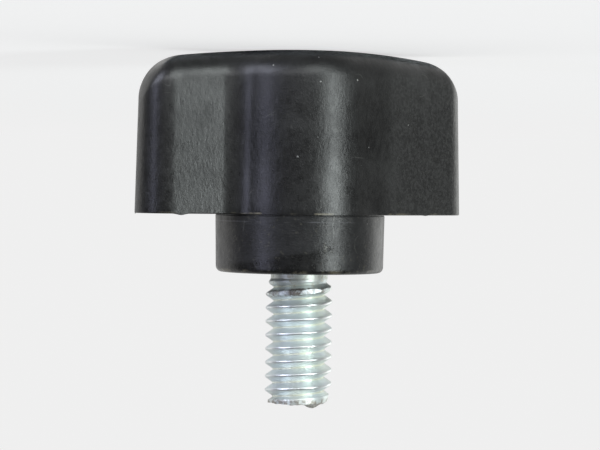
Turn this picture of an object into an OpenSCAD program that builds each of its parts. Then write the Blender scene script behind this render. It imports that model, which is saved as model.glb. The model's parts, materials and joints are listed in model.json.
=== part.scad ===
// Levelling foot with a two-winged hand grip and a steel stud moulded into it.
// It stands on the crown of its head, which touches z = 0, and the stud points up.
// The wings are cranked like a pinwheel: each has one long straight flank and one hollow flank.

/* [Head] */
// Height of the winged head, from the crown to the parting face
head_h = 15.1; // [12:0.1:20]
// Radius of the round barrel in the middle of the head, at the parting face
barrel_r = 7.95; // [7:0.05:9]
// Distance from the stud's axis to the centre of each wing tip
wing_reach = 13.2; // [12:0.1:18]
// Radius of the rounded wing tips, at the parting face
tip_r = 2.9; // [2.2:0.1:3.5]
// Angle at which the hollow flank closes towards the tip, in degrees
flank_taper = 5; // [0:0.5:8]
// Radius of the hollow where that flank runs into the barrel
hollow_r = 2.4; // [1.6:0.1:6]
// Turn of the wings about the stud, in degrees from the X axis
wing_turn = -22; // [-45:1:45]
// Draft of the head's side walls, in degrees
head_draft = 1.1; // [0.5:0.1:3]

/* [Crown] */
// Radius of the dome on the underside of the foot
crown_r = 109; // [60:1:200]
// Diameter of the flat in the middle of the dome, which the foot rests on
rest_flat_d = 8; // [3:0.5:12]
// Radius that rounds the crown down over the wing tips
tip_drop_r = 3.9; // [2.5:0.1:5]
// Radius that rounds the crown into the side walls
edge_r = 2.4; // [1:0.1:3]

/* [Coring] */
// Thickness of the plastic wall round the pocket in each wing
core_wall = 1.8; // [1.2:0.1:2]
// Solid plastic left between the barrel and each pocket
core_web = 2; // [1:0.1:3]
// Depth of the pockets below the parting face
core_depth = 8.5; // [3:0.5:9.5]

/* [Hub] */
// Height of the hub above the parting face
hub_h = 5.4; // [3:0.1:12]
// Step in from the barrel to the hub at the parting line
parting_step = 0.06; // [0.04:0.01:0.3]
// Draft of the hub's wall, in degrees
hub_draft = 1; // [0.5:0.1:3]
// Radius of the edge round the hub's end face
hub_edge_r = 0.5; // [0.2:0.1:1.5]
// Diameter of the shallow relief round the stud, wider than the thread
relief_d = 7.2; // [6.6:0.1:9]
// Depth of the relief
relief_depth = 0.3; // [0.1:0.1:1]

/* [Stud] */
// Major diameter of the 1/4-20 UNC thread
thread_d = 6.22; // [6.12:0.01:6.32]
// Pitch of the thread, 20 to the inch
thread_pitch = 1.27; // [1.1:0.01:1.5]
// Depth of the thread
thread_depth = 0.75; // [0.4:0.05:0.8]
// Length of the stud that stands out of the hub
stud_out = 12.5; // [8:0.5:40]
// Diameter of the plain shank that the thread is rolled on
shank_d = 5.3; // [5:0.1:5.9]
// Length of plain shank that shows between the hub and the first thread
neck_h = 0.9; // [0.4:0.1:2]
// Chamfer on the stud's free end
end_chamfer = 0.7; // [0.2:0.1:1]

/* [Anchor] */
// Depth of plastic between the crown and the stud's inner end
anchor_floor = 4.4; // [3:0.1:7]
// Diameter of the knurled collar that locks the stud in the plastic, over its teeth
collar_d = 9.4; // [7:0.1:11]
// Thickness of the collar
collar_h = 3; // [1.5:0.1:5]
// Number of teeth rolled round the collar
collar_teeth = 20; // [12:1:28]
// Depth of those teeth
tooth_depth = 0.4; // [0.2:0.05:0.6]
// Clearance between the steel and the plastic moulded round it
insert_gap = 0.03; // [0.01:0.01:0.1]

/* [Hidden] */

round_fn = 96;          // segments in a full turn of the revolved shapes
cut_over = 1;           // how far a cutting shape runs past the face it opens
spine_steps = 10;       // stations along each wing, from the stud's axis to the tip centre
tip_steps = 12;         // columns round a wing tip
barrel_steps = 8;       // columns round the part of the barrel that shows between the wings
edge_steps = 8;         // rows in the rounding of the crown's edge
dome_steps = 3;         // rows from that rounding to the ridge of the crown
edge_share = 0.8;       // most of a wing's half width that the rounding may take up
drop_blend = 3;         // power that merges the edge rounding with the drop at the tips
flank_lean = 30;        // half the angle between the thread's two flanks
crest_share = 1 / 8;    // flat crest of the thread, as a share of its pitch

hub_top = head_h + hub_h;
stud_top = hub_top + stud_out;
crown_inset = (head_h - edge_r) * tan(head_draft);
crown_reach = wing_reach + tip_r - crown_inset;

// Normal of the straight flank, which is tangent to the barrel and to the tip
straight_x = (barrel_r - tip_r) / wing_reach;
straight_n = [straight_x, sqrt(1 - straight_x * straight_x)];
// Normal of the hollow flank, its distance from the axis, and the centre of the hollow
hollow_n = [sin(flank_taper), -cos(flank_taper)];
hollow_d = wing_reach * sin(flank_taper) + tip_r;
hollow_along = sqrt(pow(barrel_r + hollow_r, 2) - pow(hollow_d + hollow_r, 2));
hollow_c = (hollow_d + hollow_r) * hollow_n + hollow_along * [cos(flank_taper), sin(flank_taper)];
// Where the hollow's line of tangency to the flank crosses the wing's ridge
hollow_foot = hollow_c.x - hollow_c.y * hollow_n.x / hollow_n.y;

// The outline is a ring of columns. A column is [foot, direction, width, spine index]: its foot is
// on the ridge line through both wing tips, and the wall is width away from the foot.
function straight_column(x, i) = [[x, 0], straight_n, barrel_r - straight_x * x, i];

function hollow_column(x, i) =
    x < hollow_foot
        ? let (v = hollow_c - [x, 0]) [[x, 0], v / norm(v), norm(v) - hollow_r, i]
        : [[x, 0], hollow_n, hollow_d - hollow_n.x * x, i];

function arc_columns(foot, r, from, to, steps, i) =
    [for (k = [1:steps]) let (a = from + (to - from) * k / (steps + 1)) [foot, [cos(a), sin(a)], r, i]];

// The wing that points along +X, from its hollow flank round the tip to the barrel
wing_columns = [
    for (k = [0:spine_steps]) hollow_column(wing_reach * k / spine_steps, k),
    each arc_columns([wing_reach, 0], tip_r, -90 + flank_taper, acos(straight_x), tip_steps, spine_steps),
    for (k = [spine_steps:-1:0]) straight_column(wing_reach * k / spine_steps, k),
    each arc_columns([0, 0], barrel_r, acos(straight_x), 180 + atan2(hollow_c.y, hollow_c.x), barrel_steps, 0)
];
function half_turn(c) = [-c[0], -c[1], c[2], -c[3]];
columns = concat(wing_columns, [for (c = wing_columns) half_turn(c)]);

function inset(c, d) = c[0] + (c[2] - d) * c[1];

// Height of the crown: the dome and its flat, with the drop over the wing tips and the rounding at the wall
function dome_z(r) = crown_r - sqrt(crown_r * crown_r - r * r);
function round_drop(r, share) = r * (1 - sqrt(max(0, 1 - share * share)));
function tip_drop(r) = round_drop(tip_drop_r, max(0, r - crown_reach + tip_drop_r) / tip_drop_r);
function crown_z(p, share) =
    let (r = norm(p), drop = tip_drop(r), edge = round_drop(edge_r, share))
    max(0, dome_z(r) - dome_z(rest_flat_d / 2))
    + pow(pow(drop, drop_blend) + pow(edge, drop_blend), 1 / drop_blend);

// A point of the crown on column c: share runs from 1 at the wall to 0 where the rounding ends,
// and inner runs from 0 there to 1 at the ridge
function crown_point(c, share, inner) =
    let (
        width = c[2] - crown_inset,
        reach = min(edge_r, edge_share * width),
        p = inset(c, crown_inset + reach * (1 - share) + (width - reach) * inner)
    )
    [p.x, p.y, crown_z(p, share)];

function rim_point(c) = let (p = inset(c, 0)) [p.x, p.y, head_h];

// Closed skin of the head: the parting face, the walls, the rounded edge, the dome and its ridge
module head_skin() {
    count = len(columns);
    rows = concat(
        [[for (c = columns) rim_point(c)]],
        [for (k = [0:edge_steps]) [for (c = columns) crown_point(c, cos(90 * k / edge_steps), 0)]],
        [for (k = [1:dome_steps - 1]) [for (c = columns) crown_point(c, 0, k / dome_steps)]]
    );
    ridge_x = [for (k = [-spine_steps:spine_steps]) wing_reach * k / spine_steps];
    last = len(rows) - 1;
    crown_ridge = len(rows) * count + spine_steps;
    parting_ridge = crown_ridge + len(ridge_x);

    function at(row, i) = row * count + i % count;
    function foot_of(ridge, i) = ridge + columns[i % count][3];
    // Triangles from one row of columns to the ridge points that they stand on
    function ridge_faces(row, ridge) = [
        for (i = [0:count - 1]) each [
            [at(row, i), at(row, i + 1), foot_of(ridge, i)],
            if (foot_of(ridge, i) != foot_of(ridge, i + 1))
                [at(row, i + 1), foot_of(ridge, i + 1), foot_of(ridge, i)]
        ]
    ];
    function turned_over(faces) = [for (f = faces) [f[2], f[1], f[0]]];

    polyhedron(
        points = concat(
            [for (row = rows) each row],
            [for (x = ridge_x) [x, 0, crown_z([x, 0], 0)]],
            [for (x = ridge_x) [x, 0, head_h]]
        ),
        faces = concat(
            turned_over(ridge_faces(0, parting_ridge)),
            [for (row = [0:last - 1]) for (i = [0:count - 1]) each
                [[at(row, i), at(row, i + 1), at(row + 1, i)],
                 [at(row, i + 1), at(row + 1, i + 1), at(row + 1, i)]]],
            ridge_faces(last, crown_ridge)
        )
    );
}

// Pocket that cores one wing from the parting face, inside an even wall
module core_pocket() {
    outline = [for (c = wing_columns) if (c[0].x > hollow_foot) inset(c, core_wall)];
    translate([0, 0, head_h - core_depth])
        difference() {
            linear_extrude(core_depth + cut_over) polygon(outline);
            translate([0, 0, -cut_over])
                cylinder(r = barrel_r + core_web, h = core_depth + 3 * cut_over, $fn = round_fn);
        }
}

// Hub, nearly flush with the barrel, with a small radius round its end face
module hub() {
    foot_r = barrel_r - parting_step;
    end_r = foot_r - hub_h * tan(hub_draft);
    edge = [for (a = [0:15:90])
        [end_r - hub_edge_r * (1 - cos(a)), hub_top - hub_edge_r * (1 - sin(a))]];
    rotate_extrude($fn = round_fn)
        polygon(concat([[0, head_h - cut_over], [foot_r - cut_over, head_h - cut_over], [foot_r, head_h]],
            edge, [[0, hub_top]]));
}

// Steel that lies inside the plastic: the knurled collar and the plain shank, grown by gap
module anchor(gap = 0) {
    teeth = [for (k = [0:2 * collar_teeth - 1])
        (collar_d / 2 + gap - (k % 2) * tooth_depth)
            * [cos(180 * k / collar_teeth), sin(180 * k / collar_teeth)]];
    translate([0, 0, anchor_floor - gap]) {
        linear_extrude(collar_h + 2 * gap) polygon(teeth);
        cylinder(d = shank_d + 2 * gap, h = hub_top + neck_h - anchor_floor + gap, $fn = round_fn);
    }
}

// Plastic head and hub, moulded in one shot round the stud
module wing_head() {
    color([0.11, 0.115, 0.12])
        difference() {
            union() {
                rotate(wing_turn) head_skin();
                hub();
            }
            anchor(insert_gap);
            translate([0, 0, hub_top - relief_depth])
                cylinder(d = relief_d, h = relief_depth + cut_over, $fn = round_fn);
            for (turn = [0, 180]) rotate(wing_turn + turn) core_pocket();
        }
}

// Half section of one groove of the thread, whose mouth is centred on x = 0
module groove_section() {
    crest_w = thread_pitch * crest_share;
    mouth = (thread_pitch - crest_w) / 2;
    function half_width(x) = mouth + x * tan(flank_lean);
    polygon([
        [-thread_depth, -half_width(-thread_depth)], [crest_w / 2, -half_width(crest_w / 2)],
        [crest_w / 2, half_width(crest_w / 2)], [-thread_depth, half_width(-thread_depth)]
    ]);
}

// Zinc-plated steel stud. Its thread stands as rings, one pitch apart, from the lead to the chamfer
module threaded_stud() {
    thread_r = thread_d / 2;
    lead = thread_r - shank_d / 2;
    thread_foot = hub_top + neck_h;
    first_groove = thread_foot + thread_pitch * (1 + crest_share) / 2;
    color([0.72, 0.74, 0.74]) {
        anchor();
        rotate_extrude($fn = round_fn)
            difference() {
                polygon([
                    [0, thread_foot - lead], [shank_d / 2, thread_foot - lead], [thread_r, thread_foot],
                    [thread_r, stud_top - end_chamfer], [thread_r - end_chamfer, stud_top], [0, stud_top]
                ]);
                for (k = [1:floor((stud_top - thread_foot) / thread_pitch)])
                    translate([thread_r, first_groove + (k - 1) * thread_pitch]) groove_section();
            }
    }
}

wing_head();
threaded_stud();
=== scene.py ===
"""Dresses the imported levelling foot: a moulded wing head and a zinc-plated threaded stud."""
import json

import bmesh
import bpy
import numpy as np
from mathutils import Matrix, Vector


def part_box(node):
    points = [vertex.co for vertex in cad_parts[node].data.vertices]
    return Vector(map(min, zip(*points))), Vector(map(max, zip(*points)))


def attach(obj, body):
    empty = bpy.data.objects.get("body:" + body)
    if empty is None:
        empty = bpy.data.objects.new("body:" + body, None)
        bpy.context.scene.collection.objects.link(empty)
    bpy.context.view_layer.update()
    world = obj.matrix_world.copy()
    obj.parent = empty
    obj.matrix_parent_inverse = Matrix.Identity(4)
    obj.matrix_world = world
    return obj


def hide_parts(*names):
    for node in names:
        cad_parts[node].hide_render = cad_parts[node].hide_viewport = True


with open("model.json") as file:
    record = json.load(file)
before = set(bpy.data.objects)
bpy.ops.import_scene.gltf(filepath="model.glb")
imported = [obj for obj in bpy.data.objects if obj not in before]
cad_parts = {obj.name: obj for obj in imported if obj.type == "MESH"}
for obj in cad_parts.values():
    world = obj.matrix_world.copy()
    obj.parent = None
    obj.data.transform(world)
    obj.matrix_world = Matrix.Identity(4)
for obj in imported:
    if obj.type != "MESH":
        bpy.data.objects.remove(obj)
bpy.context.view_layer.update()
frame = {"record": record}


# ---- Wing head ----
# Head and hub are one shot of black glass-filled nylon, moulded round the stud. The mould splits
# where the wings end and the hub begins, and the crown below the wings is what stands on the floor.
# Lengths here are in metres, and angles in radians unless a name or comment says degrees.

_, head_high = (np.array(corner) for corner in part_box("wing_head"))
stud_low, stud_high = (np.array(corner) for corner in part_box("threaded_stud"))

hub_height = 0.0054
hub_top = head_high[2]
parting_z = hub_top - hub_height
wing_turn = np.radians(-21)
barrel_radius = 0.00795
tip_radius = 0.00295
wing_reach = (head_high[0] - tip_radius) / np.cos(wing_turn)
flank_taper = np.radians(4)
hollow_radius = 0.0031
head_draft = np.radians(1.1)

crown_radius = 0.109
rest_flat_radius = 0.004
tip_drop_radius = 0.0039
edge_radius = 0.0024
edge_share = 0.8
rim_radius = 0.00012

pocket_wall = 0.0018
pocket_web = 0.002
pocket_depth = 0.0085
pocket_lip = 0.0002
pocket_end = 0.0006
narrowest_ledge = 0.0003

hub_step = 0.00006
hub_radius = barrel_radius - hub_step
hub_draft = np.radians(1)
hub_edge = 0.0005
hub_wall_foot = 0.0002
groove_depth = 0.00006
groove_height = 0.00015
relief_radius = 0.0036
relief_depth = 0.0003
relief_chamfer = 0.0001
shank_radius = 0.00265
insert_gap = 0.00003
collar_radius = 0.0047
collar_foot = stud_low[2]
collar_height = 0.003


def unit(angle):
    """Unit vectors in the plane at these angles."""
    return np.stack([np.cos(angle), np.sin(angle)], axis=-1)


def wing_columns():
    """One wing's half of the plan outline, as columns of foot, way and width, with the wing along X.

    A column's foot is on the ridge line through both wing tips, and its wall point is foot + width
    times way. On the straight flank, way is the normal of the line that touches barrel and tip, and
    width runs evenly from one radius to the other. On the hollow flank, way points at the centre of
    the hollow and width is the distance to it less the hollow's radius, up to the column where the
    hollow meets the flat flank; from there way is the flank's normal. Tip and barrel are arcs."""
    along = wing_reach * np.linspace(0, 1, 61)
    on_ridge = np.stack([along, 0 * along], axis=1)

    straight_angle = np.arccos((barrel_radius - tip_radius) / wing_reach)
    straight_way = np.tile(unit(straight_angle), (len(along), 1))
    straight_width = barrel_radius - np.cos(straight_angle) * along

    flank_angle = flank_taper - np.pi / 2
    flank_offset = wing_reach * np.sin(flank_taper) + tip_radius
    flank_run = np.sqrt((barrel_radius + hollow_radius) ** 2 - (flank_offset + hollow_radius) ** 2)
    hollow = (flank_offset + hollow_radius) * unit(flank_angle) + flank_run * unit(flank_taper)
    to_hollow = hollow - on_ridge
    distance = np.linalg.norm(to_hollow, axis=1)
    in_hollow = along < hollow[0] - hollow[1] / np.tan(flank_angle)
    hollow_way = np.where(in_hollow[:, None], to_hollow / distance[:, None], unit(flank_angle))
    hollow_width = np.where(in_hollow, distance - hollow_radius,
                            flank_offset - np.cos(flank_angle) * along)

    tip_angles = np.linspace(flank_angle, straight_angle, 42)[1:-1]
    barrel_angles = np.linspace(straight_angle, np.pi + np.arctan2(hollow[1], hollow[0]), 90)[1:-1]
    tip_foot = np.tile([wing_reach, 0], (len(tip_angles), 1))
    barrel_foot = np.zeros((len(barrel_angles), 2))
    foot = np.concatenate([on_ridge, tip_foot, on_ridge[::-1], barrel_foot])
    way = np.concatenate([hollow_way, unit(tip_angles), straight_way, unit(barrel_angles)])
    width = np.concatenate([hollow_width, tip_radius + 0 * tip_angles, straight_width[::-1],
                            barrel_radius + 0 * barrel_angles])
    return foot, way, width


wing_foot, wing_way, wing_width = wing_columns()
all_foot = np.concatenate([wing_foot, -wing_foot])
all_way = np.concatenate([wing_way, -wing_way])
all_width = np.concatenate([wing_width, wing_width])


def plan_point(inset):
    """Points of the outline of both wings moved in by inset: foot + (width - inset) times way."""
    return all_foot + (all_width - inset)[..., None] * all_way


def with_height(plan, z):
    """Plan points and heights as one array of points in space."""
    z = np.broadcast_to(z, plan.shape[:-1])
    return np.concatenate([plan, z[..., None]], axis=-1)


def round_drop(radius, share):
    """Depth of a quarter round of this radius at a share of its run: r(1 - sqrt(1 - share^2))."""
    return radius * (1 - np.sqrt(1 - np.clip(share, 0, 1) ** 2))


def crown_z(plan, share):
    """Height of the crown: a dome less its rest flat, plus the cube root of the sum of the cubes of
    the drop over the wing tips and the rounding of the edge, which share runs through."""
    r = np.linalg.norm(plan, axis=-1)
    dome = crown_radius - np.sqrt(crown_radius ** 2 - r ** 2)
    rest_dome = crown_radius - np.sqrt(crown_radius ** 2 - rest_flat_radius ** 2)
    drop = round_drop(tip_drop_radius, (r - crown_reach) / tip_drop_radius + 1)
    edge = round_drop(edge_radius, share)
    return np.maximum(0, dome - rest_dome) + np.cbrt(drop ** 3 + edge ** 3)


crown_inset = (parting_z - edge_radius) * np.tan(head_draft)
crown_reach = wing_reach + tip_radius - crown_inset


def crown_rows():
    """Rows from the ridge line over the dome, then round the crown's edge to the side wall.

    Over the dome the inset falls evenly to the start of the rounding; in the rounding the share of
    its run is the sine of an angle that turns from 0 to 90 degrees."""
    reach = np.minimum(edge_radius, edge_share * (all_width - crown_inset))
    inner = np.linspace(1, 0, 13)[:, None]
    dome = plan_point(crown_inset + reach + (all_width - crown_inset - reach) * inner)
    share = np.sin(np.linspace(0, np.pi / 2, 19))[1:, None]
    rounding = plan_point(crown_inset + reach * (1 - share))
    return np.concatenate([with_height(dome, crown_z(dome, 0)),
                           with_height(rounding, crown_z(rounding, share))])


# Bearing and spread in degrees, and height, of each small tongue of flash on the wings' rim.
flash_tongues = ((-13.3, 0.6, 0.00014), (3.2, 0.7, 0.00011), (28, 1.2, 0.00005),
                 (151, 0.8, 0.00006), (172, 0.7, 0.00007), (-160, 1.0, 0.00005))


def flash_height(plan):
    """Height of the flash at plan points: for each tongue, a bell exp(-u^2) in the polar angle."""
    angle = np.degrees(np.arctan2(plan[..., 1], plan[..., 0]))
    return sum(height * np.exp(-((angle - bearing) / spread) ** 2)
               for bearing, spread, height in flash_tongues)


def wall_rows(top_row):
    """Rows up the drafted wall, from the crown's edge to a small radius at the parting face.

    The height runs evenly and the inset falls with it; the radius is a quarter circle."""
    polar = np.linalg.norm(plan_point(0), axis=1)
    corner = np.minimum(rim_radius, 0.4 * (polar - hub_radius))
    share = np.linspace(0, 1, 21)[1:, None]
    top_z = top_row[:, 2]
    z = top_z + (parting_z - corner - top_z) * share
    inset = crown_inset * (parting_z - z) / (parting_z - top_z)
    turn = np.radians([22.5, 45, 67.5, 90])[:, None]
    wall = with_height(plan_point(inset), z)
    rim = with_height(plan_point(corner * (1 - np.cos(turn))),
                      parting_z - corner * (1 - np.sin(turn)))
    rim[1:3, :, 2] += flash_height(plan_point(0))
    return np.concatenate([wall, rim])


def pocket_rows():
    """Rows down, across and up the pocket that cores each wing, or all in one place beside it.

    The outer edge is the outline moved in by the wall, and the inner edge is a circle round the
    hub. Where the circle is further out than the moved outline there is no pocket, and the rows
    meet in one point between outline and hub. The depth is the full one times the square root of
    the gap over pocket_end, at most 1, and the lip and the foot are quarter circles."""
    outer = plan_point(pocket_wall)
    radius = np.linalg.norm(outer, axis=1)
    heading = outer / radius[:, None]
    polar = np.linalg.norm(plan_point(0), axis=1)
    least = hub_radius + np.minimum(narrowest_ledge, 0.5 * (polar - hub_radius))
    outer_radius = np.maximum(radius, least)
    inner_radius = np.maximum(np.minimum(radius, barrel_radius + pocket_web), least)
    gap = outer_radius - inner_radius
    depth = pocket_depth * np.sqrt(np.clip(gap / pocket_end, 0, 1))
    turn = np.radians([0, 30, 60, 90])
    lip_in, lip_down = pocket_lip * np.sin(turn), pocket_lip * (1 - np.cos(turn))
    floor_in = lip_in[-1] + 2 * pocket_lip * (1 - np.cos(turn))
    floor_up = 2 * pocket_lip * (1 - np.sin(turn))
    inward = np.concatenate([lip_in, floor_in])[:, None]
    lowered = np.concatenate([lip_down[:, None] + 0 * depth, depth - floor_up[:, None]])
    lowered = np.clip(lowered, 0, depth)
    inward = np.minimum(inward, gap / 2)
    down = with_height((outer_radius - inward)[..., None] * heading, parting_z - lowered)
    up = with_height((inner_radius + inward)[..., None] * heading, parting_z - lowered)
    return np.concatenate([down, up[::-1]]), heading


def rings(radius, z, heading):
    """Rows that turn a profile of radius and height round the axis, one point for each heading."""
    radius, z = (np.asarray(profile)[:, None] + 0 * heading[:, 0] for profile in (radius, z))
    return with_height(radius[..., None] * heading, z)


def hub_rows(heading):
    """Rows up the hub with its parting groove and drafted wall, over the edge, across the end face
    and the relief, and down the moulded cavity that holds the stud's shank and collar.

    The profile is straight between its points, with a quarter circle at the edge."""
    groove_z = groove_height * np.array([0, 0.2, 0.6, 1])
    groove_in = groove_depth * np.array([0, 1, 1, 0])
    wall_z = np.linspace(hub_wall_foot, hub_height - hub_edge, 52)
    end_radius = hub_radius - hub_height * np.tan(hub_draft)
    turn = np.radians(np.linspace(0, 90, 8))
    wall_r = hub_radius - wall_z * np.tan(hub_draft)
    edge_r = end_radius - hub_edge * (1 - np.cos(turn))
    edge_z = hub_top - hub_edge * (1 - np.sin(turn))
    bore = shank_radius + insert_gap
    cavity = collar_radius + insert_gap
    collar_top = collar_foot + collar_height
    relief_floor = hub_top - relief_depth
    inner_r = [relief_radius + relief_chamfer, relief_radius, relief_radius,
               bore, bore, cavity, cavity, 0]
    inner_z = [hub_top, hub_top - relief_chamfer, relief_floor,
               relief_floor, collar_top, collar_top, collar_foot, collar_foot]
    radius = np.concatenate([hub_radius - groove_in, wall_r, edge_r, inner_r])
    z = np.concatenate([parting_z + groove_z, parting_z + wall_z, edge_z, inner_z])
    return rings(radius, z, heading)


def skin_faces(row_count, column_count):
    """Quads between the rows of a grid whose columns close on themselves."""
    index = np.arange(row_count * column_count).reshape(row_count, column_count)
    after = np.roll(index, -1, axis=1)
    corners = [index[:-1], after[:-1], after[1:], index[1:]]
    return np.stack(corners, axis=-1).reshape(-1, 4)


merge_distance = 1e-7
shortest_edge = 1e-8


def build_piece(name, points, faces, body, sharp_degrees):
    """A closed mesh piece: doubles merged, faces turned outwards, smooth except at sharp edges."""
    mesh = bpy.data.meshes.new(name)
    mesh.from_pydata(points, [], faces)
    bm = bmesh.new()
    bm.from_mesh(mesh)
    bmesh.ops.remove_doubles(bm, verts=bm.verts, dist=merge_distance)
    bmesh.ops.dissolve_degenerate(bm, edges=bm.edges, dist=shortest_edge)
    bmesh.ops.recalc_face_normals(bm, faces=bm.faces)
    bm.to_mesh(mesh)
    bm.free()
    mesh.shade_smooth()
    mesh.set_sharp_from_angle(angle=np.radians(sharp_degrees))
    piece = bpy.data.objects.new(name, mesh)
    bpy.context.scene.collection.objects.link(piece)
    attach(piece, body)
    return piece


nick_angle = np.radians(-109.4)
nick_z = parting_z + 0.00297
nick_width = 0.00013
nick_height = 0.0002
nick_depth = 0.00007


def nick(points):
    """Presses one small dent with a raised lip into the hub's wall.

    With u the distance from its middle in units of its size, the wall moves in by exp(-u^2) of the
    depth and out by a ring exp(-6 (u - 1.5)^2) of about a third of it."""
    angle = np.arctan2(points[..., 1], points[..., 0])
    across = (angle - nick_angle) * hub_radius
    u = np.hypot(across / nick_width, (points[..., 2] - nick_z) / nick_height)
    inward = nick_depth * (np.exp(-u ** 2) - 0.35 * np.exp(-6 * (u - 1.5) ** 2))
    on_wall = np.hypot(points[..., 0], points[..., 1]) > 0.9 * hub_radius
    above = points[..., 2] > parting_z + hub_wall_foot
    scale = 1 - np.where(on_wall & above, inward, 0) / hub_radius
    return points * np.stack([scale, scale, np.ones_like(scale)], axis=-1)


def turned_plan(points):
    """Plan points turned about the stud to where the wings point: x times one unit vector plus y
    times the one a quarter turn on."""
    return points[..., :1] * unit(wing_turn) + points[..., 1:2] * unit(wing_turn + np.pi / 2)


def head_points():
    """All rows of the head in order, turned to where its wings point."""
    crown = crown_rows()
    pockets, heading = pocket_rows()
    points = np.concatenate([crown, wall_rows(crown[-1]), pockets, hub_rows(heading)])
    return nick(with_height(turned_plan(points), points[..., 2]))


wing_points = head_points()
wing_head = build_piece("moulded_wing_head", wing_points.reshape(-1, 3),
                        skin_faces(*wing_points.shape[:2]), "root", 35)
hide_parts("wing_head")


class Shade:
    """A socket in a node tree, or the tree alone, on which sums and products add Math nodes."""

    def __init__(self, tree, socket=None):
        self.tree = tree
        self.socket = socket

    def node(self, kind, settings, inputs, output=0):
        """Adds a node: its settings first, then its sockets, by name or place, as values or links."""
        made = self.tree.nodes.new(kind)
        for name, value in settings.items():
            setattr(made, name, value)
        for name, value in inputs.items():
            if isinstance(value, Shade):
                self.tree.links.new(value.socket, made.inputs[name])
            else:
                made.inputs[name].default_value = value
        return Shade(self.tree, made.outputs[output] if made.outputs else None)

    def math(self, operation, *others):
        """This value, with any others that the operation takes, put through a Math node."""
        values = dict(enumerate((self, *others)))
        return self.node("ShaderNodeMath", {"operation": operation}, values)

    def __add__(self, other):
        return self.math("ADD", other)

    def __sub__(self, other):
        return self.math("SUBTRACT", other)

    def __rsub__(self, other):
        return self.node("ShaderNodeMath", {"operation": "SUBTRACT"}, {0: other, 1: self})

    def __mul__(self, other):
        return self.math("MULTIPLY", other)

    __radd__ = __add__
    __rmul__ = __mul__

    def step(self, low, high):
        """0 below low, 1 above high, smooth between; the other way round if low is above high."""
        if low < high:
            ends = {"From Min": low, "From Max": high}
        else:
            ends = {"From Min": high, "From Max": low, "To Min": 1.0, "To Max": 0.0}
        return self.node("ShaderNodeMapRange", {"interpolation_type": "SMOOTHSTEP"},
                         {"Value": self, **ends})

    def mix(self, low, high):
        """The colour low where this value is 0 and high where it is 1."""
        return self.node("ShaderNodeMix", {"data_type": "RGBA"}, {0: self, 6: low, 7: high}, 2)

    def painted(self, *coats):
        """This colour with coats over it in order, each a mask and the colour that it lays on."""
        colour = self
        for mask, coat in coats:
            colour = mask.mix(colour, coat)
        return colour

    def stretched(self, scale):
        """This vector times scale, for a pattern that is longer one way."""
        return self.node("ShaderNodeVectorMath", {"operation": "MULTIPLY"}, {0: self, 1: scale})

    def noise(self, scale, detail=2.0, roughness=0.5, distortion=0.0):
        """Noise from 0 to 1 over this vector."""
        return self.node("ShaderNodeTexNoise", {},
                         {"Vector": self, "Scale": scale, "Detail": detail,
                          "Roughness": roughness, "Distortion": distortion})

    def distance_to(self, point):
        """Distance from this vector to a point."""
        return self.node("ShaderNodeVectorMath", {"operation": "DISTANCE"}, {0: self, 1: point}, 1)

    def to_nearest_cell(self, scale):
        """Distance from this vector, times scale, to the nearest of points strewn over space."""
        return self.node("ShaderNodeTexVoronoi", {"feature": "F1"},
                         {"Vector": self, "Scale": scale})


def new_material(name):
    """An empty material: its tree, the Object coordinates as a vector, and x, y and z."""
    material = bpy.data.materials.new(name)
    material.use_nodes = True
    material.node_tree.nodes.clear()
    tree = Shade(material.node_tree)
    place = tree.node("ShaderNodeTexCoord", {}, {}, "Object")
    parts = [tree.node("ShaderNodeSeparateXYZ", {}, {"Vector": place}, axis) for axis in "XYZ"]
    return material, tree, place, parts


def surface(tree, height, relief, bsdf_inputs):
    """Ends the tree in one Principled shader with these inputs, bumped by height times relief."""
    bump = tree.node("ShaderNodeBump", {}, {"Strength": 1.0, "Distance": relief, "Height": height})
    bsdf = tree.node("ShaderNodeBsdfPrincipled", {}, {"Normal": bump, **bsdf_inputs})
    tree.node("ShaderNodeOutputMaterial", {}, {"Surface": bsdf})


def hairlines(place):
    """Fine scratches, upright and level, where long noise crosses its middle, in a few patches."""
    upright = (place.stretched((1, 1, 0.10)).noise(330, 1) - 0.5).math("ABSOLUTE")
    level = (place.stretched((0.12, 0.12, 1)).noise(300, 1) - 0.5).math("ABSOLUTE")
    scratch = upright.step(0.008, 0.002) * place.noise(420, 2).step(0.64, 0.72)
    return scratch + level.step(0.005, 0.001) * place.noise(340, 2).step(0.62, 0.70) * 0.6


def rubbed_arcs(place):
    """Faint curved rub marks: thin wavering rings round strewn points, in a few patches."""
    ring = (place.to_nearest_cell(260) + place.noise(500) * 0.25 - 0.47).math("ABSOLUTE")
    return ring.step(0.009, 0.003) * place.noise(640, 1).step(0.60, 0.68)


def crumbs(place):
    """Crumbs of plastic round the nick in the hub's wall."""
    from_nick = place.distance_to((*hub_radius * unit(nick_angle), nick_z))
    return from_nick.step(0.0007, 0.0003) * place.noise(4200, 1).step(0.56, 0.64)


def pale_flash(place, radius, z):
    """Whitish traces of flash along the parting line, strongest near the hub, and on its rim."""
    line = (z - (parting_z - 0.00011)).math("ABSOLUTE").step(0.00010, 0.00005)
    flash = line * place.noise(420, 3).step(0.50, 0.62)
    flash = flash * (0.3 + radius.step(0.0105, 0.0085) * 0.7)
    hub_rim = (z - (hub_top - 0.00022)).math("ABSOLUTE").step(0.00022, 0.00006)
    return flash + hub_rim * place.noise(650, 3).step(0.48, 0.64) * 0.7


def painted_step_highlight(place, z):
    """A painted highlight: a broken pale line round the hub, a little above the parting face."""
    line = (z - (parting_z + 0.00064)).math("ABSOLUTE").step(0.00008, 0.00002)
    return line * place.noise(300, 2).step(0.42, 0.58)


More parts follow.
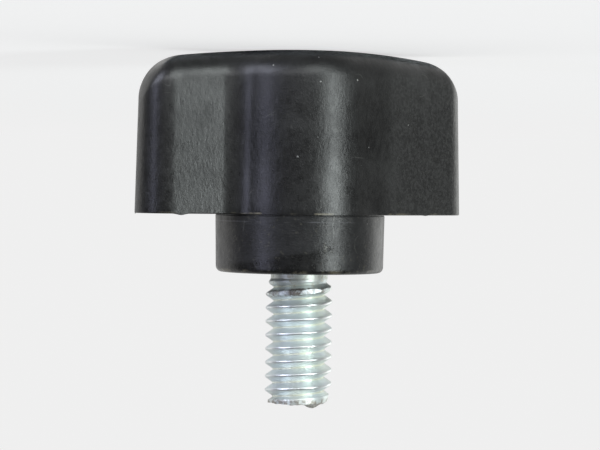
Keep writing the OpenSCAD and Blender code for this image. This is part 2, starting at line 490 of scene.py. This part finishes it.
def greasy_film(x, z, patches):
    """A film on the hub's end. Its edge is a wavy slope that climbs steeply at one side."""
    steep_side = (x + 0.0022).math("MINIMUM", 0.0) * 1.2
    edge = parting_z + 0.00344 + x * 0.187 + (patches - 0.5) * 0.0006 - steep_side
    return (z - edge).step(-0.00025, 0.00025)


def pale_streak(x, y, z):
    """One pale upright streak on the hub's near side, wavy, that ends halfway up."""
    wave = (z * 4200).math("SINE") * 0.00005
    streak = (x + 0.00303 + wave).math("ABSOLUTE").step(0.00008, 0.00003) * y.step(0.0, -0.001)
    return streak * z.step(parting_z + 0.0024, parting_z + 0.0016)


def worn_flank(place, x, y, on_wing):
    """Grey wear on the straight flank of each wing, the part of it that is furthest from the plane
    through stud and tips: the distance from the stud along the flank's normal."""
    flank_normal = unit(wing_turn + np.arccos((barrel_radius - tip_radius) / wing_reach))
    across = (x * flank_normal[0] + y * flank_normal[1]).math("ABSOLUTE")
    flank = across.step(0.0074, 0.0077) * on_wing
    return flank * (0.30 + place.noise(3600, 2).step(0.44, 0.60) * 0.70)


def moulded_plastic():
    """Satin black nylon with an upright leathery grain, pits and cloudy patches. On it lie fine
    scratches, rub marks, dust, pale flash and wear on the straight flanks, and on the hub a greasy
    film, grime, one pale streak and a broken line of painted highlight."""
    material, tree, place, (x, y, z) = new_material("black_moulded_plastic")
    radius = (x * x + y * y).math("SQRT")
    on_hub = z.step(parting_z, parting_z + 0.0001)
    on_head = z.step(parting_z + 0.0001, parting_z - 0.0001)
    on_wing = radius.step(0.0082, 0.0092)

    grain = place.stretched((1, 1, 0.5)).noise(2900, 3, 0.7, 0.2)
    rubbed = place.stretched((0.35, 0.35, 1)).noise(4600, 2, 0.7)
    scuffed = place.stretched((1, 1, 0.7)).noise(1500, 4, 0.75)
    pits = place.noise(7000, 2)
    mottle = place.noise(520, 3)
    patches = place.noise(240, 2)
    dust = (place.to_nearest_cell(520) + place.noise(900) * 0.09).step(0.086, 0.062)
    scratch = hairlines(place)
    debris = crumbs(place)

    film = on_hub * greasy_film(x, z, patches)
    wiped = on_hub - film
    grime = on_hub * place.noise(2300, 2).step(0.62, 0.70)
    streak = on_hub * pale_streak(x, y, z)
    worn = on_head * worn_flank(place, x, y, on_wing)
    handled = z.step(parting_z - 0.0065, parting_z - 0.0030).math("MAXIMUM", on_wing)
    handled = handled * radius.step(0.0152, 0.0138)
    burnish = on_head * handled * mottle.step(0.25, 0.6)
    near_crown = z.step(0.0085, 0.0035)

    base = grain.step(0.3, 0.7).mix((0.0035, 0.0035, 0.0036, 1), (0.0115, 0.0115, 0.0112, 1))
    base = base.painted(
        (mottle.step(0.35, 0.7) * 0.6, (0.0110, 0.0111, 0.0109, 1)),
        (patches.step(0.54, 0.40) * 0.6, (0.0030, 0.0030, 0.0030, 1)),
        (patches.step(0.58, 0.70) * 0.5, (0.0230, 0.0232, 0.0230, 1)),
        (worn * 0.8, (0.0320, 0.0322, 0.0315, 1)),
        (wiped * 0.6, (0.0190, 0.0190, 0.0198, 1)),
        (film * 0.8, (0.0050, 0.0050, 0.0048, 1)),
        (scratch * 0.3, (0.12, 0.12, 0.11, 1)),
        (rubbed_arcs(place) * 0.35, (0.12, 0.12, 0.11, 1)),
        (grime * 0.6, (0.050, 0.047, 0.038, 1)),
        (streak * 0.35, (0.20, 0.20, 0.19, 1)),
        # painted highlight: a broken pale line where a mould step round the hub catches the light
        (painted_step_highlight(place, z) * 0.4, (0.14, 0.14, 0.15, 1)),
        (dust * 0.7, (0.42, 0.42, 0.40, 1)),
        (debris * 0.5, (0.30, 0.30, 0.27, 1)),
        (pale_flash(place, radius, z) * 0.7, (0.19, 0.17, 0.12, 1)))

    rough = 0.26 + scuffed.step(0.3, 0.7) * 0.12 + rubbed * 0.05 + scratch * 0.1
    rough = rough + z.step(0.0050, 0.0020) * 0.09 - burnish * 0.03 - film * 0.05
    height = grain * (1.1 + on_head * 1.8) + pits * 0.4 + mottle * 0.8 + dust * 3
    height = height + rubbed * (1.1 + on_hub * 1.6) + debris * 4 - scratch * 0.5
    surface(tree, height, 0.00001, {
        "Base Color": base, "Roughness": rough, "IOR": 1.5,
        "Coat Weight": burnish * 0.42 + near_crown * 0.25, "Coat Roughness": 0.3})
    return material


wing_head.data.materials.append(moulded_plastic())


# ---- Threaded stud ----
# A length of 1/4-20 zinc-plated steel, rolled, cropped at its free end and left rough there. A
# knurled collar on its plain shank locks it in the plastic, and one crest near the hub is bruised.

stud_mount = next(mount for mount in frame["record"]["mounts"] if mount["name"] == "stud")
pitch = 0.0254 / 20
crest_radius = stud_mount["dims"]["r_mm"] / 1000
root_radius = crest_radius - 0.62 * pitch
thread_flank = np.radians(34.5)
crest_flat = 0.00009
thread_softness = 0.00004
crest_start = hub_top + 0.003355
thread_foot = hub_top + 0.0005
run_out = 0.0009

collar_teeth = 20
tooth_depth = 0.0004
anchor_top = thread_foot - 0.00005

# Bearing in degrees, and distance from the axis, of each flat that the bruise is made of.
bruise_flats = ((-177, 0.00298), (-148, 0.00302), (-113, 0.00289),
                (-90, 0.00297), (-66, 0.00293), (-42, 0.00296))
bruise_z = hub_top + 0.0017

cropped_z = stud_high[2] - 0.00035
crop_drop = 0.0003
burr_angle = np.radians(236)
burr_spread = np.radians(18)
burr_height = 0.00036
ridge_height = 0.00003

stud_columns = 160
rows_in_pitch = 24


def smooth(value, low, high):
    """0 below low, 1 above high, and share^2 (3 - 2 share) between."""
    share = np.clip((value - low) / (high - low), 0, 1)
    return share * share * (3 - 2 * share)


def ripple(angle, waves):
    """A sum of sines round the stud, each with an amplitude, a whole number of waves and a phase."""
    return sum(size * np.sin(count * angle + phase) for size, count, phase in waves)


def thread_radius(angle, z):
    """Radius of the rolled thread at an angle and height.

    The distance from the crest along the axis is |(z - start) / pitch - angle / 2 pi| folded to half
    a pitch. The flanks are straight lines in it, and the soft maximum log(1 + e^u) rounds them into
    the crest and the root. The thread fades out into the shank near the hub. A flat of the bruise
    is a plane, r = distance / cos(angle from it), that takes away what stands out past it. The crop
    lowers the last crest."""
    turn = (z - crest_start) / pitch - angle / (2 * np.pi)
    from_crest = np.abs(turn - np.round(turn)) * pitch
    flank = crest_radius + crest_flat - from_crest / np.tan(thread_flank)
    above_root = np.logaddexp(0, (flank - root_radius) / thread_softness)
    rounded = root_radius + thread_softness * above_root
    below_crest = np.logaddexp(0, (crest_radius - rounded) / thread_softness - 1)
    radius = crest_radius - thread_softness * below_crest
    radius = shank_radius + (radius - shank_radius) * smooth(z, thread_foot, thread_foot + run_out)
    bruised = smooth(z, bruise_z - 0.0010, bruise_z - 0.0005)
    bruised = bruised * (1 - smooth(z, bruise_z + 0.0006, bruise_z + 0.0009))
    for bearing, distance in bruise_flats:
        flat = distance / np.maximum(np.cos(angle - np.radians(bearing)), 0.5)
        radius = radius - bruised * np.maximum(radius - flat, 0)
    last_crest = crest_radius - crop_drop * smooth(z, cropped_z - 0.0011, cropped_z - 0.0006)
    return np.minimum(radius, last_crest)


def anchor_rows(angle):
    """The shank inside the plastic and its collar, whose teeth are a triangle wave round it."""
    wave = np.abs(angle * collar_teeth / np.pi % 2 - 1)
    toothed = (collar_radius - tooth_depth * wave)[:, None] * unit(angle)
    collar_top = collar_foot + collar_height
    foot_rows = rings([0, shank_radius], [collar_foot, collar_foot], unit(angle))
    collar_rows = np.stack([with_height(toothed, z) for z in (collar_foot, collar_top)])
    shank_rows = rings([shank_radius, shank_radius], [collar_top, anchor_top], unit(angle))
    return np.concatenate([foot_rows, collar_rows, shank_rows])


def thread_rows(angle, low_z, high_z):
    """Rows that climb with the helix, one pitch a turn, held between the two end heights."""
    turns = int(np.ceil((high_z.max() - low_z) / pitch)) + 2
    row = np.arange(turns * rows_in_pitch)[:, None]
    z = low_z - pitch + pitch * (row / rows_in_pitch + np.arange(stud_columns) / stud_columns)
    z = np.clip(z, low_z, high_z)
    return with_height(thread_radius(angle, z)[..., None] * unit(angle), z)


def thread_faces(row_count):
    """Quads of the helix: the last column joins the first one a whole pitch of rows higher."""
    index = np.arange(row_count * stud_columns).reshape(row_count, stud_columns)
    inside = [index[:-1, :-1], index[:-1, 1:], index[1:, 1:], index[1:, :-1]]
    last = index[:-rows_in_pitch, -1]
    first = index[rows_in_pitch:, 0]
    seam = [last[:-1], first[:-1], first[1:], last[1:]]
    return np.concatenate([np.stack(side, axis=-1).reshape(-1, 4) for side in (inside, seam)])


def cropped_rows(angle, edge_z):
    """The sheared end: from the torn edge to the middle, with ridges across it.

    With share 1 at the edge and 0 in the middle, the ridges are a sine of y bent by a sine of x, and
    the tears round the edge fade as share^4 (1 - share)."""
    share = np.linspace(1, 0, 22)[:, None]
    radius = thread_radius(angle, edge_z) * share
    x, y = radius * np.cos(angle), radius * np.sin(angle)
    torn = ripple(angle, ((0.0005, 3, 0.4), (0.0004, 7, 1.1), (0.0003, 13, 2.0)))
    ridges = ridge_height * np.sin(6200 * y + 2 * np.sin(1700 * x)) * (1 - share ** 4)
    z = cropped_z + (edge_z - cropped_z) * smooth(share, 0.8, 1.0)
    z = z + torn * share ** 4 * (1 - share) + ridges
    return with_height(radius[..., None] * unit(angle), z)


def stud_mesh():
    """Anchor, helix and cropped end, each a grid, put together as one list of points and faces.

    The torn edge is a sum of sines, and the burr on it is exp(-u^4) in the angle."""
    angle = 2 * np.pi * np.arange(stud_columns) / stud_columns
    burr = np.exp(-((angle - burr_angle) / burr_spread) ** 4)
    torn_edge = ripple(angle, ((0.00004, 4, 0.3), (0.00003, 9, 1.7), (0.00002, 23, 0.9)))
    edge_z = cropped_z + torn_edge + burr_height * burr
    anchor = anchor_rows(angle)
    helix = thread_rows(angle, anchor_top, edge_z)
    crop = cropped_rows(angle, edge_z)
    points, faces, start = [], [], 0
    for rows, quads in ((anchor, skin_faces(len(anchor), stud_columns)),
                        (helix, thread_faces(len(helix))),
                        (crop, skin_faces(len(crop), stud_columns))):
        points.append(rows.reshape(-1, 3))
        faces.append(quads + start)
        start += rows.shape[0] * stud_columns
    return np.concatenate(points), np.concatenate(faces)


stud = build_piece("rolled_thread_stud", *stud_mesh(), "root", 40)
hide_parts("threaded_stud")


def bruised_crest(x, y, z, radius):
    """Where the bruise flattened a crest, on the near side of the stud only."""
    band = z.step(bruise_z - 0.00050, bruise_z - 0.00035)
    band = band * z.step(bruise_z + 0.0009, bruise_z + 0.0008)
    near_side = x.step(-0.0027, -0.0023) * y.step(0.0, -0.0006)
    return band * near_side * radius.step(crest_radius - 0.00042, crest_radius - 0.00030)


def zinc_plate():
    """Zinc with a clear blue passivate: patchily polished crests, cloudy colour along the stud, and
    roots tinted yellow and painted paler as a painted highlight. The bruise is scraped and darker
    in patches in its middle, smut lies at the neck, and the cropped end is grey torn steel."""
    material, tree, place, (x, y, z) = new_material("zinc_plated_steel")
    radius = (x * x + y * y).math("SQRT")
    cloud = place.noise(700, 3)
    tint = place.noise(330, 2)
    fine = place.noise(9000, 3)
    dirt = place.noise(2600, 3)
    patchy = place.noise(3400, 2).step(0.40, 0.58)
    crest = radius.step(crest_radius - 0.00006, crest_radius - 0.00001) * (0.4 + patchy * 0.6)
    # roots painted paler and yellow: a yellow tint, and a painted highlight where the roots catch
    # light
    root = radius.step(root_radius + 0.00020, root_radius + 0.00004)
    neck = z.step(thread_foot + 0.0003, thread_foot)
    smut = z.step(thread_foot + 0.0012, thread_foot + 0.0004) * dirt.step(0.54, 0.66)

    bruise = bruised_crest(x, y, z, radius)
    scraped = bruise * place.noise(3000, 3).step(0.44, 0.60)
    # the bruise darker and less metallic in patches in its middle, on the near side
    darker_bruise_middle = bruise * x.step(0.0012, 0.0007) * x.step(-0.0007, -0.0002) * dirt.step(0.36, 0.50)

    torn = z.step(cropped_z - 0.0006, cropped_z - 0.0002)
    end_face = torn * radius.step(crest_radius - 0.00021, crest_radius - 0.00051)
    sheared = place.stretched((1, 0.12, 1)).noise(5200, 3, 0.6)
    bare = sheared.step(0.25, 0.75).mix((0.34, 0.33, 0.31, 1), (0.62, 0.61, 0.58, 1))

    colour = tint.step(0.35, 0.65).mix((0.72, 0.79, 0.79, 1), (0.77, 0.82, 0.78, 1))
    colour = colour.painted(
        (cloud.step(0.5, 0.75) * 0.5, (0.70, 0.72, 0.78, 1)),
        (neck * 0.4, (0.86, 0.86, 0.79, 1)),
        # painted highlight and yellow tint in the roots
        (root * 0.7, (0.90, 0.90, 0.76, 1)),
        (crest * 0.7, (0.88, 0.90, 0.91, 1)),
        # the bruise darker brown in patches, and darkest in its middle on the near side
        (bruise * dirt.step(0.50, 0.62) * 0.7, (0.42, 0.39, 0.33, 1)),
        (scraped * 0.45, (0.34, 0.34, 0.37, 1)),
        (darker_bruise_middle * 0.85, (0.16, 0.13, 0.11, 1)),
        (smut * 0.5, (0.50, 0.45, 0.34, 1)),
        (torn * dirt.step(0.42, 0.56), (0.33, 0.31, 0.27, 1)),
        (end_face * 0.9, bare))

    metal = 0.74 + crest.math("MAXIMUM", bruise) * 0.14 - darker_bruise_middle * 0.5 - smut * 0.3
    rough = 0.39 + cloud * 0.10 - crest * 0.15 + scraped * 0.08 + torn * 0.05 + neck * 0.05
    height = fine + cloud * 2 + torn * dirt * 6 + scraped * 2 + end_face * sheared * 8
    surface(tree, height, 0.000006, {"Base Color": colour, "Metallic": metal, "Roughness": rough})
    return material


stud.data.materials.append(zinc_plate())


# ---- Camera ----
# The foot is looked at square on and upside down, so the camera is turned half over about its own
# line of sight and a little more. Its height is the point of the head that it looks straight at.

camera_distance = 0.235
camera_height = parting_z - 0.00297
camera_aside = 0.000036
camera_roll = np.radians(-0.685)
view_width = 0.055986
view_shift = -0.0712

camera_data = bpy.data.cameras.new("camera")
camera_data.lens = camera_data.sensor_width * camera_distance / view_width
camera_data.shift_y = view_shift
camera = bpy.data.objects.new("camera", camera_data)
right = np.array([-np.cos(camera_roll), 0, np.sin(camera_roll)])
up = np.array([-np.sin(camera_roll), 0, -np.cos(camera_roll)])
camera.matrix_world = Matrix([[right[0], up[0], 0, camera_aside],
                              [right[1], up[1], -1, -camera_distance],
                              [right[2], up[2], 0, camera_height], [0, 0, 0, 1]])
bpy.context.scene.collection.objects.link(camera)
bpy.context.scene.camera = camera
bpy.context.scene.view_settings.view_transform = "Standard"


# ---- Stage ----
# A plain pale floor that fades into a pale backdrop. Lamps all round, some below the floor's level,
# reach the foot from its sides and its rounded crown, so the floor lets lamp light and reflections
# through, except right under the foot.

floor_half = 3.0
patch_inset = 0.0014
patch_drop = 0.00005
floor_colour = (0.88, 0.89, 0.90, 1)
glow_colour = (1.44, 1.44, 1.44, 1)
backdrop_colour = (0.865, 0.865, 0.865, 1)
front_light = (0.105, 0.105, 0.105, 1)
back_light = (0.72, 0.72, 0.71, 1)


def shader_mix(share, low, high):
    """The shader low where share is 0 and high where it is 1."""
    return share.node("ShaderNodeMixShader", {}, {0: share, 1: low, 2: high})


def pale_floor():
    """Matt, and to the camera partly glowing, fading to the backdrop's colour away from the foot.
    Reflections and lamp light pass through it."""
    material, tree, _, (x, y, _) = new_material("pale_floor")
    far = (x * x + y * y).math("SQRT").step(0.04, 0.45)
    seen = tree.node("ShaderNodeLightPath", {}, {}, "Is Camera Ray")
    mirrored = tree.node("ShaderNodeLightPath", {}, {}, "Is Glossy Ray")
    lighting = tree.node("ShaderNodeLightPath", {}, {}, "Is Shadow Ray")
    matt = tree.node("ShaderNodeBsdfDiffuse", {}, {"Color": floor_colour})
    glow = tree.node("ShaderNodeEmission", {}, {"Color": glow_colour, "Strength": 1.0})
    horizon = tree.node("ShaderNodeEmission", {}, {"Color": backdrop_colour, "Strength": 1.0})
    clear = tree.node("ShaderNodeBsdfTransparent", {}, {})
    near_floor = shader_mix(seen * 0.45, matt, glow)
    whole_floor = shader_mix(seen * far, near_floor, horizon)
    mixed = shader_mix(mirrored.math("MAXIMUM", lighting), whole_floor, clear)
    tree.node("ShaderNodeOutputMaterial", {}, {"Surface": mixed})
    return material


def shaded_floor():
    """The floor's matt colour alone, which stops all light."""
    material, tree, _, _ = new_material("shaded_floor")
    matt = tree.node("ShaderNodeBsdfDiffuse", {}, {"Color": floor_colour})
    tree.node("ShaderNodeOutputMaterial", {}, {"Surface": matt})
    return material


def flat_sheet(name, outline, material):
    """An object with one flat face round this outline."""
    mesh = bpy.data.meshes.new(name)
    mesh.from_pydata(outline, [], [range(len(outline))])
    mesh.materials.append(material)
    sheet = bpy.data.objects.new(name, mesh)
    bpy.context.scene.collection.objects.link(sheet)
    return sheet


floor_outline = floor_half * np.array([[-1, -1, 0], [1, -1, 0], [1, 1, 0], [-1, 1, 0]])
floor = flat_sheet("floor", floor_outline, pale_floor())

under_foot = turned_plan(plan_point(patch_inset))[::3]
patch = flat_sheet("floor_under_foot", with_height(under_foot, -patch_drop), shaded_floor())

world = bpy.data.worlds.new("studio")
world.use_nodes = True
world.node_tree.nodes.clear()
sky = Shade(world.node_tree)
seen = sky.node("ShaderNodeLightPath", {}, {}, "Is Camera Ray")
direction = sky.node("ShaderNodeTexCoord", {}, {}, "Generated")
behind = sky.node("ShaderNodeSeparateXYZ", {}, {"Vector": direction}, "Y").step(-0.1, 0.65)
shown = seen.mix(behind.mix(front_light, back_light), backdrop_colour)
glow = sky.node("ShaderNodeBackground", {}, {"Color": shown, "Strength": 1.0})
sky.node("ShaderNodeOutputWorld", {}, {"Surface": glow})
bpy.context.scene.world = world

lamp_distance = 0.8


def lamp(name, bearing, elevation, width, height, radiance, colour):
    """A rectangle of light aimed at the foot, unseen by the camera.

    Its bearing is in degrees from the camera towards the camera's right, its elevation in degrees
    above the camera's level, and radiance is how bright it looks, where 1 is a white wall."""
    data = bpy.data.lights.new(name, "AREA")
    data.shape = "RECTANGLE"
    data.size, data.size_y = width, height
    data.energy = radiance * np.pi * width * height
    data.color = colour
    made = bpy.data.objects.new(name, data)
    across, rise = np.radians(bearing), np.radians(elevation)
    level = np.array([-np.sin(across), -np.cos(across), 0])
    away = level * np.cos(rise) + [0, 0, np.sin(rise)]
    side = np.array([level[1], -level[0], 0])
    above = np.cross(away, side)
    centre = away * lamp_distance + [0, 0, camera_height]
    made.matrix_world = Matrix([*np.stack([side, above, away, centre], axis=1), [0, 0, 0, 1]])
    made.visible_camera = False
    bpy.context.scene.collection.objects.link(made)


lamp("key", 45.5, 5, 0.27, 0.8, 7.0, (0.93, 1.0, 0.99))
lamp("window", -50, 0, 0.14, 0.85, 2.9, (0.72, 0.74, 1.0))
lamp("skylight", -58, -30, 0.60, 0.34, 5.0, (0.82, 0.85, 1.0))
lamp("ceiling", 27, -35, 0.40, 0.34, 4.2, (0.93, 1.0, 0.99))
lamp("far_skylight", 0, -24, 0.6, 0.24, 2.6, (0.96, 0.97, 1.0))
lamp("panel", 134, 10, 0.5, 0.7, 0.95, (0.98, 1.0, 0.97))
lamp("far_panel", -116, 5, 0.35, 0.7, 0.4, (1.0, 0.98, 0.95))
